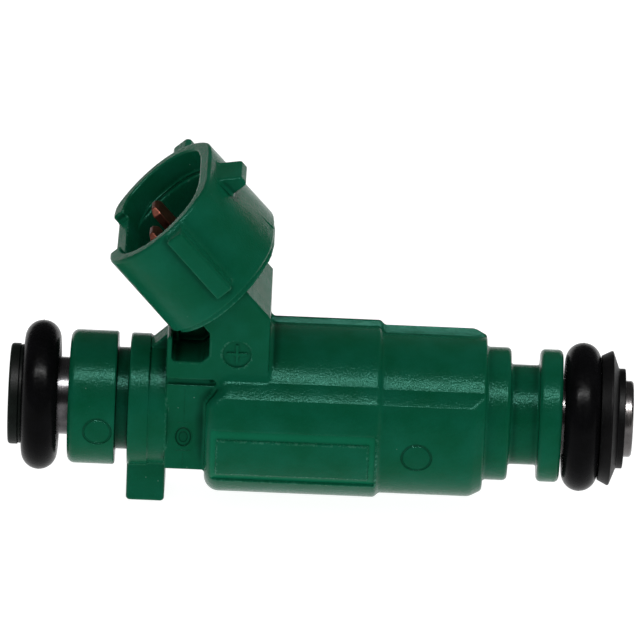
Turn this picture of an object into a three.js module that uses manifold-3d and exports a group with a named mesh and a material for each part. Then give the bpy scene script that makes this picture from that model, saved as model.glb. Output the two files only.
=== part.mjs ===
// Top-feed port fuel injector, in millimetres.
// +X runs along the injector from the fuel inlet to the spray tip, +Z is the connector side.
// The origin is the centre of the orifice plate's outer face.
// Stations along X are measured from the inlet end, and the whole group is shifted at the end.

import * as THREE from 'three';
import { mergeVertices } from 'three/addons/utils/BufferGeometryUtils.js';
import Module from 'manifold-3d';

const wasm = await Module();
wasm.setup();

// ---------------------------------------------------------------- driving dimensions

const TURN = 32; // sides of every turned piece, so that neighbours nest face to face
const GAP = 0.05; // assembly gap between touching pieces
const MOULD_GAP = 0.3; // gap between the overmould and the slanted terminals

const inletFace = 0;
const flangeStart = 0.7;
const flangeEnd = 1.3;
const flangeR = 4.4; // flange of the inlet tube, inside the filter's rim
const upperRingMid = 3.1;
const collar = [5.88, 10.51];
const clipGroove = [10.51, 11.75];
const keyFlange = [11.75, 13.74];
const shoulder = [13.74, 15.5];
const sideBlock = [15.45, 20.0]; // the square-sided length before the barrel
const barrel = [19.4, 36.0];
const pad = [20.5, 35.35]; // pad inside the sunk frame on the barrel's sides
const lowerBarrel = [36.75, 45.35];
const neckRing = [46.57, 48.99];
const lowerGroove = [48.99, 51.85];
const seatFlange = [51.85, 54.07];
const lowerRingMid = 56.07;
const capSpan = [57.86, 60.25];
const plateRim = 60.22; // outer rim of the orifice plate, which the retainer holds
const sprayFace = 60.3;
const tipEnd = 61.1;

const collarR = 6.55;
const clipGrooveR = 5.0;
const keyFlangeR = 6.45;
const shoulderR = 6.3;
const barrelR = 8.7;
const barrelFlatR = 8.08; // the shallower sector at the top
const frameR = 8.44; // floor of the sunk frame
const padR = 8.63;
const lowerBarrelR = 8.25;
const lowerFlatR = 7.5;
const lowerBarrelEndR = 7.6;
const neckRingR = 6.525;
const lowerGrooveR = 4.9;
const seatFlangeR = 6.5;

const tubeR = 3.8; // inlet tube, and the seat of the upper O-ring
const tubeBoreR = 2.9;
const tubeEnd = 20.0;
const filterRimR = 4.95;
const filterEnd = 13.4;
const filterBoreR = 2.0;
const bodyR = 3.75; // valve body, and the seat of the lower O-ring
const ringSection = 3.5; // O-ring cord diameter

const canSpan = [22.0, 45.0];
const canR = 6.6;
const canBoreR = 5.95;
const canFloor = 43.5;
const slotHalf = 4.2; // half width of the terminals' way out of the can and washer
const spool = [23.7, 43.3];
const coil = [24.5, 42.5];
const coilInnerR = 4.4;
const cheekR = 5.85; // radius of the bobbin's end cheeks

const coreSpan = [17.05, 35.08];
const coreR = 3.2;
const coreBoreR = 1.7;
const lift = 0.1; // travel of the valve
const residualGap = 0.02; // air gap that is left when the valve is open
const armatureTop = coreSpan[1] + lift + residualGap;
const armatureEnd = 42.2;
const armatureR = 3.15;
const needleR = 1.15;
const ballR = 1.6;
const ballMid = 57.92;
const seatTop = 58.13;
const seatEnd = 60.0;
const seatStackR = 3.1; // guide, seat, orifice plate and retainer
const valveBodyTop = 39.05;
const valveBodyBoreR = 2.2;
const needleTop = 40.95;
const needleBoreR = 0.75;
const sleeve = [18.5, 27.0]; // the split tube that sets the spring
const sleeveBoreR = 0.95;

const connectorTilt = THREE.MathUtils.degToRad(41.4); // rim plane against the injector axis
const rimFoot = new THREE.Vector3(9.5, 0, 17.39); // middle of the rim's lower straight edge
const shroudHeight = 12.37;
const shroudLength = 9.5;
const shroudMid = 5.8; // centre of the oval above the lower edge
const shroudOval = [7.45, 9.9]; // half axes: up the rim plane, and across
const shroudWall = 1.25;
const shroudDraft = 0.45;
const notchHalf = 4.2;
const notchDepth = 0.85;
const keyRibUp = [7.2, 9.0];
const keyRibReach = 11.2;
const lugHalf = 2.1;
const socketDepth = 8.6;
const ledgeDepth = 1.9;
const ledgeWidth = 1.4;
const bladePitch = 6.0;
const bladeWidth = 2.8;
const bladeThickness = 0.8;
const bladeHeight = 4.35; // blade mid plane above the rim's lower edge
const bladeRecess = 1.0; // tip below the rim plane

const neckSpan = [15.4, 25.3];
const neckHalf = 6.0;
const sideHalf = 5.8;
const webHalf = 0.8; // wall between the neck's two pockets
const gussetHalf = 1.2;
const tabHalf = 2.75;
const tabFoot = -9.86;

// ---------------------------------------------------------------- geometry helpers

/** A geometry with shared vertices and no zero-area triangles. */
function closed(geometry) {
  const bare = geometry.clone();
  for (const name of Object.keys(bare.attributes)) {
    if (name !== 'position') bare.deleteAttribute(name);
  }
  const merged = mergeVertices(bare, 1e-4);
  const index = merged.index.array;
  const kept = [];
  for (let i = 0; i < index.length; i += 3) {
    const [a, b, c] = [index[i], index[i + 1], index[i + 2]];
    if (a !== b && b !== c && c !== a) kept.push(a, b, c);
  }
  merged.setIndex(kept);
  return merged;
}

function solid(geometry) {
  const shape = closed(geometry);
  return new wasm.Manifold(
    new wasm.Mesh({
      numProp: 3,
      vertProperties: new Float32Array(shape.attributes.position.array),
      triVerts: new Uint32Array(shape.index.array),
    }),
  );
}

function geometryOf(manifold) {
  const mesh = manifold.getMesh();
  const geometry = new THREE.BufferGeometry();
  geometry.setAttribute('position', new THREE.BufferAttribute(mesh.vertProperties, 3));
  geometry.setIndex(new THREE.BufferAttribute(mesh.triVerts, 1));
  return geometry;
}

/** A body turned about the X axis from a closed outline of [station, radius] points. */
function turned(outline, sides = TURN) {
  const points = outline.map(([x, r]) => new THREE.Vector2(r, x));
  // the lathe's faces point out when its outline runs anticlockwise in [radius, station]
  if (THREE.ShapeUtils.area(points) < 0) points.reverse();
  points.push(points[0].clone());
  const geometry = new THREE.LatheGeometry(points, sides);
  geometry.rotateZ(-Math.PI / 2);
  return geometry;
}

function tube(x0, x1, inner, outer, sides = TURN) {
  return turned([[x0, inner], [x1, inner], [x1, outer], [x0, outer]], sides);
}

function rod(x0, x1, radius, sides = TURN) {
  const points = [[0, x0], [radius, x0], [radius, x1], [0, x1]].map((p) => new THREE.Vector2(...p));
  const geometry = new THREE.LatheGeometry(points, sides);
  geometry.rotateZ(-Math.PI / 2);
  return geometry;
}

function box(x0, x1, y0, y1, z0, z1) {
  const geometry = new THREE.BoxGeometry(x1 - x0, y1 - y0, z1 - z0);
  geometry.translate((x0 + x1) / 2, (y0 + y1) / 2, (z0 + z1) / 2);
  return geometry;
}

/** A prism: an outline of [x, z] points, given anticlockwise, drawn out across Y. */
function slab(outline, y0, y1) {
  const shape = new THREE.Shape(outline.map(([x, z]) => new THREE.Vector2(x, z)));
  const geometry = new THREE.ExtrudeGeometry(shape, { depth: y1 - y0, bevelEnabled: false });
  geometry.rotateX(Math.PI / 2);
  geometry.translate(0, y1, 0);
  return geometry;
}

/** A ring of round section about the X axis. */
function ring(mid, seatR, section) {
  const r = section / 2;
  const points = [];
  for (let i = 0; i < 12; i += 1) {
    const angle = (i / 12) * 2 * Math.PI;
    points.push([mid + r * Math.cos(angle), seatR + r + r * Math.sin(angle)]);
  }
  return turned(points);
}

// ---------------------------------------------------------------- connector frame
// In this frame x runs up the rim plane, y across, and z out of the socket.

const rimUp = new THREE.Vector3(Math.cos(connectorTilt), 0, Math.sin(connectorTilt));
const rimOut = new THREE.Vector3(-Math.sin(connectorTilt), 0, Math.cos(connectorTilt));
const connectorFrame = new THREE.Matrix4()
  .makeBasis(rimUp, new THREE.Vector3(0, 1, 0), rimOut)
  .setPosition(rimFoot);

/** The station and height of a point given in the connector frame. */
function atRim(up, out) {
  const point = new THREE.Vector3(up, 0, out).applyMatrix4(connectorFrame);
  return [point.x, point.z];
}

/** An oval cut straight across at its foot and head, inset from the outside, from z0 to z1. */
function ovalPrism(insetUp, insetAcross, z0, z1, steps = 14) {
  const [halfUp, halfAcross] = [shroudOval[0] - insetUp, shroudOval[1] - insetAcross];
  const foot = insetUp;
  const head = shroudHeight - insetUp;
  const start = Math.acos((head - shroudMid) / halfUp);
  const end = Math.acos((foot - shroudMid) / halfUp);
  const points = [];
  for (const side of [1, -1]) {
    for (let i = 0; i <= steps; i += 1) {
      const share = side > 0 ? i / steps : 1 - i / steps;
      const angle = start + (end - start) * share;
      const up = shroudMid + halfUp * Math.cos(angle);
      points.push(new THREE.Vector2(up, side * halfAcross * Math.sin(angle)));
    }
  }
  const geometry = new THREE.ExtrudeGeometry(new THREE.Shape(points), {
    depth: z1 - z0,
    bevelEnabled: false,
  });
  geometry.translate(0, 0, z0);
  return geometry;
}

/** Widens the shroud's head side towards its base, as its mould draft does. */
function drafted(geometry, growth) {
  const position = geometry.attributes.position;
  for (let i = 0; i < position.count; i += 1) {
    const rise = Math.max(0, position.getX(i) - shroudMid) / (shroudHeight - shroudMid);
    const depth = -position.getZ(i) / shroudLength;
    position.setX(i, position.getX(i) + growth * rise * depth);
  }
  return geometry;
}

const placed = (geometry) => geometry.applyMatrix4(connectorFrame);

// ---------------------------------------------------------------- overmould

function overmouldCore() {
  const outline = [
    [collar[0], tubeR + GAP],
    [collar[0], collarR - 0.75],
    [collar[0] + 0.22, collarR - 0.22],
    [collar[0] + 0.75, collarR],
    [collar[1], collarR],
    [clipGroove[0], clipGrooveR],
    [clipGroove[1], clipGrooveR],
    [keyFlange[0], keyFlangeR],
    [keyFlange[1], keyFlangeR],
    [shoulder[0], shoulderR],
    [shoulder[1], shoulderR],
    [shoulder[1], sideHalf],
    [barrel[0], sideHalf],
    [barrel[0], barrelR - 1.5],
    [barrel[0] + 0.45, barrelR - 0.45],
    [barrel[0] + 1.5, barrelR],
    [barrel[1], barrelR],
    [lowerBarrel[0], lowerBarrelR],
    [lowerBarrel[1], lowerBarrelR],
    [neckRing[0], lowerBarrelEndR],
    [neckRing[0], neckRingR],
    [neckRing[1] - 0.3, neckRingR],
    [neckRing[1], neckRingR - 0.3],
    [lowerGroove[0], lowerGrooveR],
    [lowerGroove[1], lowerGrooveR],
    [seatFlange[0], seatFlangeR - 0.4],
    [seatFlange[0] + 0.4, seatFlangeR],
    [seatFlange[1] - 0.4, seatFlangeR],
    [seatFlange[1], seatFlangeR - 0.4],
    [seatFlange[1], bodyR + GAP],
    [canSpan[1] + GAP, bodyR + GAP],
    [canSpan[1] + GAP, canR + GAP],
    [canSpan[0] - GAP, canR + GAP],
    [canSpan[0] - GAP, coreR + GAP],
    [tubeEnd + 0.1, coreR + GAP],
    [tubeEnd + 0.1, tubeR + GAP],
  ];
  return solid(turned(outline));
}

/** A wedge of the space around the X axis, between two angles from the near horizontal. */
function sector(x0, x1, inner, outer, from, to, steps = 10) {
  const points = [];
  for (const [radius, back] of [[outer, 0], [inner, 1]]) {
    for (let i = 0; i <= steps; i += 1) {
      const share = back ? 1 - i / steps : i / steps;
      const angle = THREE.MathUtils.degToRad(from + (to - from) * share);
      points.push([-radius * Math.cos(angle), radius * Math.sin(angle)]);
    }
  }
  const shape = new THREE.Shape(points.map(([y, z]) => new THREE.Vector2(y, z)));
  const geometry = new THREE.ExtrudeGeometry(shape, { depth: x1 - x0, bevelEnabled: false });
  // the outline's axes are Y and Z, and the prism runs along X
  geometry.applyMatrix4(
    new THREE.Matrix4().makeBasis(
      new THREE.Vector3(0, 1, 0),
      new THREE.Vector3(0, 0, 1),
      new THREE.Vector3(1, 0, 0),
    ),
  );
  geometry.translate(x0, 0, 0);
  return geometry;
}

/** The shallow upper sectors of the barrel, and the sunk frame round a low pad on either side. */
function barrelRelief(body) {
  const reach = 12;
  const [low, high] = [34, 113]; // the shallow sectors, in degrees from the near side
  const border = 6.3; // width of the sunk frame, in degrees
  const step = barrel[1] + 0.2;
  const cuts = [
    solid(sector(barrel[0] - 0.2, step, barrelFlatR, reach, low, high, 16)),
    solid(sector(step, neckRing[0] - 0.01, lowerFlatR, reach, low, high, 16)),
  ];
  for (const [from, to] of [[-36, 6.2], [173.8, 216]]) {
    const sunk = solid(sector(barrel[0] + 0.4, barrel[1] - 0.05, frameR, reach, from, to, 9));
    const kept = solid(sector(...pad, frameR - 0.5, padR, from + border, to - border, 6));
    cuts.push(sunk.subtract(kept));
  }
  for (const cut of cuts) body = body.subtract(cut);
  return body;
}

function neck() {
  const base = -shroudLength - 0.5;
  const profile = [
    [neckSpan[0], 4.0],
    [neckSpan[1], 4.0],
    [neckSpan[1], 11.93],
    atRim(8.24, base),
    atRim(0.6, base),
    [neckSpan[0], 9.4],
  ];
  const gusset = [
    [12.6, 5.1],
    [16.4, 5.1],
    [16.4, 8.66],
  ];
  const pockets = [-1, 1].map((side) => {
    const [y0, y1] = side < 0 ? [-neckHalf - 1, -webHalf] : [webHalf, neckHalf + 1];
    const outline = [
      [15.85, 7.0],
      [18.8, 7.0],
      [19.5, 7.7],
      [19.5, 10.1],
      [18.8, 10.9],
      [17.6, 11.4],
      [15.85, 9.9],
    ];
    return solid(slab(outline, y0, y1));
  });
  let body = solid(slab(profile, -neckHalf, neckHalf));
  body = body.subtract(pockets[0]).subtract(pockets[1]);
  return body.add(solid(slab(gusset, -gussetHalf, gussetHalf)));
}

function shroud() {
  const outer = drafted(ovalPrism(0, 0, -shroudLength, 0), shroudDraft);
  const step = drafted(
    ovalPrism(0.5, 0.5, -shroudLength - 0.55, -shroudLength + 0.1),
    shroudDraft,
  );
  const ribs = [-1, 1].map((side) => {
    const far = side * keyRibReach;
    const near = side * (shroudOval[1] - 1);
    return box(...keyRibUp, Math.min(far, near), Math.max(far, near), -8, -0.35);
  });
  const lugProfile = new THREE.Shape(
    [[-1.1, 0], [-2.4, 2.0], [-3.4, 2.0], [-3.4, -0.6], [-1.1, -0.6]].map(
      ([z, up]) => new THREE.Vector2(z, shroudHeight + up),
    ),
  );
  const lug = new THREE.ExtrudeGeometry(lugProfile, { depth: 2 * lugHalf, bevelEnabled: false });
  // the profile's axes are out of the socket and up the rim plane, and it is drawn out across
  lug.applyMatrix4(
    new THREE.Matrix4().makeBasis(
      new THREE.Vector3(0, 0, 1),
      new THREE.Vector3(1, 0, 0),
      new THREE.Vector3(0, 1, 0),
    ),
  );
  lug.translate(0, -lugHalf, 0);
  let body = solid(placed(outer)).add(solid(placed(step)));
  for (const piece of [...ribs, lug]) body = body.add(solid(placed(piece)));
  return body;
}

function socket() {
  const mouth = ovalPrism(shroudWall, shroudWall, -ledgeDepth - 0.6, 1);
  const well = ovalPrism(shroudWall, shroudWall + ledgeWidth, -socketDepth, 0);
  const notch = box(-1, shroudWall + 0.3, -notchHalf, notchHalf, -notchDepth, 1);
  return solid(placed(mouth)).add(solid(placed(well))).add(solid(placed(notch)));
}

function overmould() {
  let body = barrelRelief(overmouldCore());
  const tab = box(keyFlange[0], shoulder[1], -tabHalf, tabHalf, tabFoot, -5.6);
  const side = box(...sideBlock, -sideHalf, sideHalf, -4.7, 4.1);
  const outside = solid(tab).add(solid(side)).add(neck()).add(shroud());
  body = body.add(outside).subtract(solid(rod(5, canSpan[0] + 5, coreR + GAP)));
  body = body.subtract(solid(rod(5, tubeEnd + 0.1, tubeR + GAP)));
  body = body.subtract(solid(rod(canSpan[0] - GAP, canSpan[1] + GAP, canR + GAP)));
  body = body.subtract(socket());
  for (const y of [-bladePitch / 2, bladePitch / 2]) {
    body = body.subtract(terminalSolid(y, MOULD_GAP));
  }
  return geometryOf(body);
}

// ---------------------------------------------------------------- terminals

/** One terminal: a chamfered blade, and a narrow tail that reaches down to the bobbin. */
function terminalSolid(y, grow = 0) {
  const half = bladeThickness / 2 + grow;
  const tailX = 22.85;
  const tip = -bladeRecess + grow;
  const [tipX, tipZ] = atRim(bladeHeight, tip);
  // the blade's mid line meets the upright tail here
  const run = (tailX - tipX) / Math.sin(connectorTilt);
  const kneeZ = tipZ - run * Math.cos(connectorTilt);
  const back = tip - run;
  const width = bladeWidth / 2 + grow;
  const bevel = 0.7;
  const outline = new THREE.Shape(
    [
      [-width, back + 2],
      [width, back + 2],
      [width, tip - bevel],
      [width - bevel, tip],
      [bevel - width, tip],
      [-width, tip - bevel],
    ].map(([across, out]) => new THREE.Vector2(across, out)),
  );
  const blade = new THREE.ExtrudeGeometry(outline, { depth: 2 * half, bevelEnabled: false });
  blade.applyMatrix4(
    new THREE.Matrix4().makeBasis(
      new THREE.Vector3(0, 1, 0),
      new THREE.Vector3(0, 0, 1),
      new THREE.Vector3(1, 0, 0),
    ),
  );
  blade.translate(bladeHeight - half, 0, 0);
  const tailHalf = 0.6 + grow;
  const slant = half / Math.cos(connectorTilt);
  const shift = (half * (1 - Math.sin(connectorTilt))) / Math.cos(connectorTilt);
  const [upperX, upperZ] = atRim(bladeHeight + half, back + 3);
  const [lowerX, lowerZ] = atRim(bladeHeight - half, back + 3);
  const foot = 4.9 - grow;
  const toe = 23.6 + grow;
  const tail = [
    [tailX - half, foot],
    [toe, foot],
    [toe, foot + 2 * half],
    [tailX + half, foot + 2 * half],
    [tailX + half, kneeZ + slant - shift],
    [upperX, upperZ],
    [lowerX, lowerZ],
    [tailX - half, kneeZ - slant + shift],
  ];
  const piece = solid(placed(blade)).add(solid(slab(tail, -tailHalf, tailHalf)));
  return piece.translate([0, y, 0]);
}

// ---------------------------------------------------------------- fuel inlet

function inletTube() {
  return turned([
    [flangeStart, tubeBoreR],
    [coreSpan[0] - GAP, tubeBoreR],
    [coreSpan[0] - GAP, coreR + GAP],
    [tubeEnd, coreR + GAP],
    [tubeEnd, tubeR],
    [flangeEnd + 0.25, tubeR],
    [flangeEnd, tubeR + 0.25],
    [flangeEnd, flangeR],
    [flangeStart, flangeR],
  ]);
}

/** The filter's rim, its sleeve in the tube, three ribs and the closed end, in one moulding. */
function filterFrame() {
  const head = solid(
    turned([
      [inletFace, filterBoreR],
      [3.0, filterBoreR],
      [3.0, tubeBoreR - GAP],
      [flangeStart - GAP, tubeBoreR - GAP],
      [flangeStart - GAP, flangeR + GAP],
      [flangeEnd, flangeR + GAP],
      [flangeEnd, filterRimR - 0.1],
      [flangeEnd - 0.3, filterRimR],
      [inletFace + 0.2, filterRimR],
      [inletFace, filterRimR - 0.2],
    ]),
  );
  let body = head.add(solid(rod(filterEnd - 0.8, filterEnd, 2.55)));
  for (let i = 0; i < 3; i += 1) {
    const rib = box(2.8, filterEnd - 0.6, -0.35, 0.35, 2.32, 2.6);
    rib.rotateX((i / 3) * 2 * Math.PI);
    body = body.add(solid(rib));
  }
  return geometryOf(body);
}

// ---------------------------------------------------------------- magnetic circuit

function poleCore() {
  return turned([
    [coreSpan[0], coreBoreR],
    [coreSpan[1], coreBoreR],
    [coreSpan[1], coreR - 0.15],
    [coreSpan[1] - 0.15, coreR],
    [coreSpan[0] + 0.2, coreR],
    [coreSpan[0], coreR - 0.2],
  ]);
}

/** The tube that sets the spring's force, split along one side so that it grips the core. */
function calibrationSleeve() {
  const wall = solid(tube(...sleeve, sleeveBoreR, coreBoreR - GAP, 24));
  const slit = box(sleeve[0] - 1, sleeve[1] + 1, -0.2, 0.2, 0, coreBoreR);
  return geometryOf(wall.subtract(solid(slit)));
}

function bobbin() {
  return turned([
    [spool[0], bodyR + 0.1],
    [spool[1], bodyR + 0.1],
    [spool[1], cheekR],
    [coil[1], cheekR],
    [coil[1], coilInnerR],
    [coil[0], coilInnerR],
    [coil[0], cheekR],
    [spool[0], cheekR],
  ]);
}

/** The steel can, notched at its open end where the terminals leave the coil. */
function solenoidHousing() {
  const can = solid(
    turned([
      [canSpan[0], canBoreR],
      [canFloor, canBoreR],
      [canFloor, bodyR + GAP],
      [canSpan[1], bodyR + GAP],
      [canSpan[1], canR - 0.3],
      [canSpan[1] - 0.3, canR],
      [canSpan[0], canR],
    ]),
  );
  return geometryOf(can.subtract(solid(box(21, 24.4, -slotHalf, slotHalf, 2, 8))));
}

function fluxWasher() {
  const washer = solid(tube(canSpan[0] + GAP, spool[0] - 0.1, coreR + GAP, canBoreR - GAP));
  return geometryOf(washer.subtract(solid(box(21, 25, -slotHalf, slotHalf, 4.2, 8))));
}

// ---------------------------------------------------------------- moving valve

function armature() {
  return turned([
    [armatureTop, 1.55],
    [armatureTop + 2.0, 1.55],
    [armatureTop + 2.0, 0.95],
    [needleTop - GAP, 0.95],
    [needleTop - GAP, needleR + 0.03],
    [armatureEnd, needleR + 0.03],
    [armatureEnd, armatureR - 0.3],
    [armatureEnd - 0.3, armatureR],
    [armatureTop + 0.2, armatureR],
    [armatureTop, armatureR - 0.2],
  ]);
}

/** The tube that carries the ball, its end coned to meet it. */
function needleTube() {
  const touch = (r) => ballMid - Math.sqrt(ballR ** 2 - r ** 2) - 0.04;
  return turned([
    [needleTop, needleBoreR],
    [touch(needleBoreR), needleBoreR],
    [touch(needleR), needleR],
    [needleTop, needleR],
  ], 24);
}

/** The coil spring between the calibration sleeve and the armature's pocket. */
function returnSpring() {
  const [start, end] = [sleeve[1] + 0.06, armatureTop + 1.95];
  const [wire, turns, perTurn] = [0.34, 8, 10];
  const coilR = 1.28;
  const points = [];
  const steps = turns * perTurn;
  const [from, to] = [start + wire / 2, end - wire / 2];
  for (let i = 0; i <= steps; i += 1) {
    const turn = i / perTurn;
    // the first and last turn lie nearly flat
    const open = Math.min(Math.max(turn - 1, 0), turns - 2) / (turns - 2);
    const flat = (Math.min(turn, 1) + Math.max(turn - turns + 1, 0)) * (wire + 0.06);
    const x = from + flat + open * (to - from - 2 * (wire + 0.06));
    const angle = turn * 2 * Math.PI;
    points.push(new THREE.Vector3(x, coilR * Math.cos(angle), coilR * Math.sin(angle)));
  }
  const section = new THREE.Shape();
  section.absarc(0, 0, wire / 2, 0, 2 * Math.PI);
  return new THREE.ExtrudeGeometry(section, {
    steps,
    curveSegments: 3,
    bevelEnabled: false,
    extrudePath: new THREE.CatmullRomCurve3(points),
  });
}

// ---------------------------------------------------------------- nozzle end

function valveBody() {
  return turned([
    [valveBodyTop, armatureR + GAP],
    [43.0, armatureR + GAP],
    [43.0, valveBodyBoreR],
    [56.9, valveBodyBoreR],
    [56.9, 3.15],
    [60.75, 3.15],
    [60.75, 2.55],
    [tipEnd, 2.75],
    [tipEnd, bodyR - 0.35],
    [tipEnd - 0.1, bodyR - 0.12],
    [tipEnd - 0.35, bodyR],
    [valveBodyTop, bodyR],
  ]);
}

/** The disc that keeps the ball central, with five flow slots round its hole. */
function ballGuide() {
  let disc = solid(tube(57.0, seatTop - 0.03, ballR + 0.03, seatStackR));
  for (let i = 0; i < 5; i += 1) {
    const slot = rod(56, 59, 0.45, 12);
    slot.translate(0, 0, 1.95);
    slot.rotateX((i / 5) * 2 * Math.PI);
    disc = disc.subtract(solid(slot));
  }
  return geometryOf(disc);
}

/** The seat: a 90 degree cone that the ball closes, and the passage to the orifice plate. */
function valveSeat() {
  const touch = (ballR + 0.02) * Math.SQRT2; // where the cone's line meets the axis, past the ball
  const coneR = (x) => ballMid + touch - x;
  return turned([
    [seatTop, coneR(seatTop)],
    [59.45, coneR(59.45)],
    [seatEnd, coneR(59.45)],
    [seatEnd, seatStackR],
    [seatTop, seatStackR],
  ]);
}

/** A thin plate, raised in the middle, with four spray holes on a small circle. */
function orificePlate() {
  const rimPart = solid(rod(seatEnd + 0.03, plateRim, seatStackR));
  let plate = rimPart.add(solid(rod(seatEnd + 0.1, sprayFace, 2.4)));
  for (let i = 0; i < 4; i += 1) {
    const hole = rod(59.5, 61, 0.14, 8);
    hole.translate(0, 0, 0.42);
    hole.rotateX(((i + 0.5) / 4) * 2 * Math.PI);
    plate = plate.subtract(solid(hole));
  }
  return geometryOf(plate);
}

function tipCap() {
  const seat = bodyR + GAP;
  return turned([
    [capSpan[0], seat],
    [capSpan[0], 6.1],
    [58.84, 6.6],
    [59.0, 6.55],
    [59.65, 4.9],
    [capSpan[1] - 0.15, 4.9],
    [capSpan[1], 4.75],
    [capSpan[1], seat],
  ]);
}

// ---------------------------------------------------------------- assembly

const finishes = {
  nylon: { color: 0x0f5a3c, roughness: 0.45, metalness: 0 },
  filterPlastic: { color: 0x1b2a22, roughness: 0.5, metalness: 0 },
  filterCloth: { color: 0xb9b7a8, roughness: 0.8, metalness: 0 },
  rubber: { color: 0x0d0d0e, roughness: 0.4, metalness: 0 },
  capPlastic: { color: 0x141516, roughness: 0.5, metalness: 0 },
  stainless: { color: 0xb9bcbf, roughness: 0.25, metalness: 1 },
  softIron: { color: 0x8b8d8f, roughness: 0.35, metalness: 1 },
  zincSteel: { color: 0x9a9fa3, roughness: 0.4, metalness: 1 },
  springSteel: { color: 0x9a9b9d, roughness: 0.3, metalness: 1 },
  copper: { color: 0xa2603f, roughness: 0.35, metalness: 1 },
  bobbinPlastic: { color: 0x2b2723, roughness: 0.55, metalness: 0 },
};

const injector = new THREE.Group();

function add(name, geometry, finish) {
  const material = new THREE.MeshStandardMaterial(finishes[finish]);
  const mesh = new THREE.Mesh(closed(geometry), material);
  mesh.name = name;
  injector.add(mesh);
}

add('overmould_housing', overmould(), 'nylon');
add('inlet_filter_frame', filterFrame(), 'filterPlastic');
add('inlet_filter_mesh', tube(3.05, 12.55, 2.1, 2.27, 24), 'filterCloth');
add('inlet_tube', inletTube(), 'stainless');
add('inlet_o_ring', ring(upperRingMid, tubeR + 0.02, ringSection), 'rubber');
add('calibration_sleeve', calibrationSleeve(), 'stainless');
add('return_spring', returnSpring(), 'springSteel');
add('pole_core', poleCore(), 'softIron');
add('nonmagnetic_sleeve', tube(31.0, valveBodyTop - GAP, coreR + GAP, coreR + 0.4), 'stainless');
add('coil_bobbin', bobbin(), 'bobbinPlastic');
add('coil_winding', tube(coil[0] + GAP, coil[1] - GAP, coilInnerR + GAP, cheekR - 0.1), 'copper');
add('solenoid_housing', solenoidHousing(), 'zincSteel');
add('flux_washer', fluxWasher(), 'softIron');
add('terminal_positive', geometryOf(terminalSolid(-bladePitch / 2)), 'copper');
add('terminal_negative', geometryOf(terminalSolid(bladePitch / 2)), 'copper');
add('armature', armature(), 'softIron');
add('needle_tube', needleTube(), 'stainless');
add('valve_ball', new THREE.SphereGeometry(ballR, 24, 16).translate(ballMid, 0, 0), 'stainless');
add('valve_body', valveBody(), 'stainless');
add('ball_guide', ballGuide(), 'stainless');
add('valve_seat', valveSeat(), 'stainless');
add('orifice_plate', orificePlate(), 'stainless');
add('seat_retainer', tube(plateRim + 0.03, 60.72, 2.5, seatStackR), 'stainless');
add('lower_o_ring', ring(lowerRingMid, bodyR + 0.02, ringSection), 'rubber');
add('tip_cap', tipCap(), 'capPlastic');

injector.position.x = -sprayFace;

export default injector;
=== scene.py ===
"""Fuel injector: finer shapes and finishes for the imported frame.

Shapes are in millimetres. A station is a distance along the axis from the inlet face, y runs across
and z up; the near side has negative y. Most shapes are fields of distance, negative inside.
"""

import math
from concurrent.futures import ThreadPoolExecutor

import bpy
import numpy as np
from mathutils import Matrix, Vector


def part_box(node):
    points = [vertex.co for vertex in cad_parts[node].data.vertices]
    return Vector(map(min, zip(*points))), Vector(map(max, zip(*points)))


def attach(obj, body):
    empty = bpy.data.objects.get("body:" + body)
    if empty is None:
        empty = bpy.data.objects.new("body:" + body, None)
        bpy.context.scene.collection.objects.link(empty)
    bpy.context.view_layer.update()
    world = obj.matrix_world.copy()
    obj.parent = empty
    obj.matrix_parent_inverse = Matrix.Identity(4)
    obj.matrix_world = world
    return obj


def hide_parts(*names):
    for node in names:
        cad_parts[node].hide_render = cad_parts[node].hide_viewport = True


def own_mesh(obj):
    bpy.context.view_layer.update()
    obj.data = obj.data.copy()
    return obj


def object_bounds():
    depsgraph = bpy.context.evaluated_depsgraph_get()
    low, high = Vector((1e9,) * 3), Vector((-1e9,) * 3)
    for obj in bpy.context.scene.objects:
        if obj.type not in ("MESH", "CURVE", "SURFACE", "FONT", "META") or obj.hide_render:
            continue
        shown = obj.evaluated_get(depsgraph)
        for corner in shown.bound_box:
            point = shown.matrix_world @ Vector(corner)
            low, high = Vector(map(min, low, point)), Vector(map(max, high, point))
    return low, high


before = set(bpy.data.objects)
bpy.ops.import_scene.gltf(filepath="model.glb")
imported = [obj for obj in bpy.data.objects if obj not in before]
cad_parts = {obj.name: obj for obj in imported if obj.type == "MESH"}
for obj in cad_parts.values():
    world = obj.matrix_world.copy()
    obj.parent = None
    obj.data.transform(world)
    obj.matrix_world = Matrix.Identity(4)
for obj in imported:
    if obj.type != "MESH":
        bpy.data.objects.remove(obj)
cad_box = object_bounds()

MM = 0.001
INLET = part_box("inlet_filter_frame")[0].x / MM  # the inlet face is station 0
POOL = ThreadPoolExecutor(4)
CHUNK = 1 << 15  # points in one sample of a field
CELL = 0.18  # grid of the moulded body
FINE_CELL = 0.12  # grid of the small pieces

# ---------------------------------------------------------------- fields of distance, in mm


def meet(a, b, r):
    """The part of space in both fields, its edge rounded."""
    inner = np.minimum(-r, np.maximum(a, b))
    return inner + np.hypot(np.maximum(r + a, 0), np.maximum(r + b, 0))


def join(a, b, r):
    """Both fields together, filleted where they meet."""
    outer = np.maximum(r, np.minimum(a, b))
    return outer - np.hypot(np.maximum(r - a, 0), np.maximum(r - b, 0))


def cut(a, b, r):
    """The first field without the second, its new edge rounded."""
    return meet(a, -b, r)


def span(x, low, high):
    """The distance to a stretch of one coordinate."""
    return np.abs(x - (low + high) / 2) - (high - low) / 2


def boxed(x, y, z, low, high, r):
    """A box with rounded edges."""
    q = [span(v, a + r, b - r) for v, a, b in zip((x, y, z), low, high)]
    outside = np.sqrt(sum(np.maximum(v, 0) ** 2 for v in q))
    return outside + np.minimum(np.maximum(np.maximum(q[0], q[1]), q[2]), 0) - r


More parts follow.
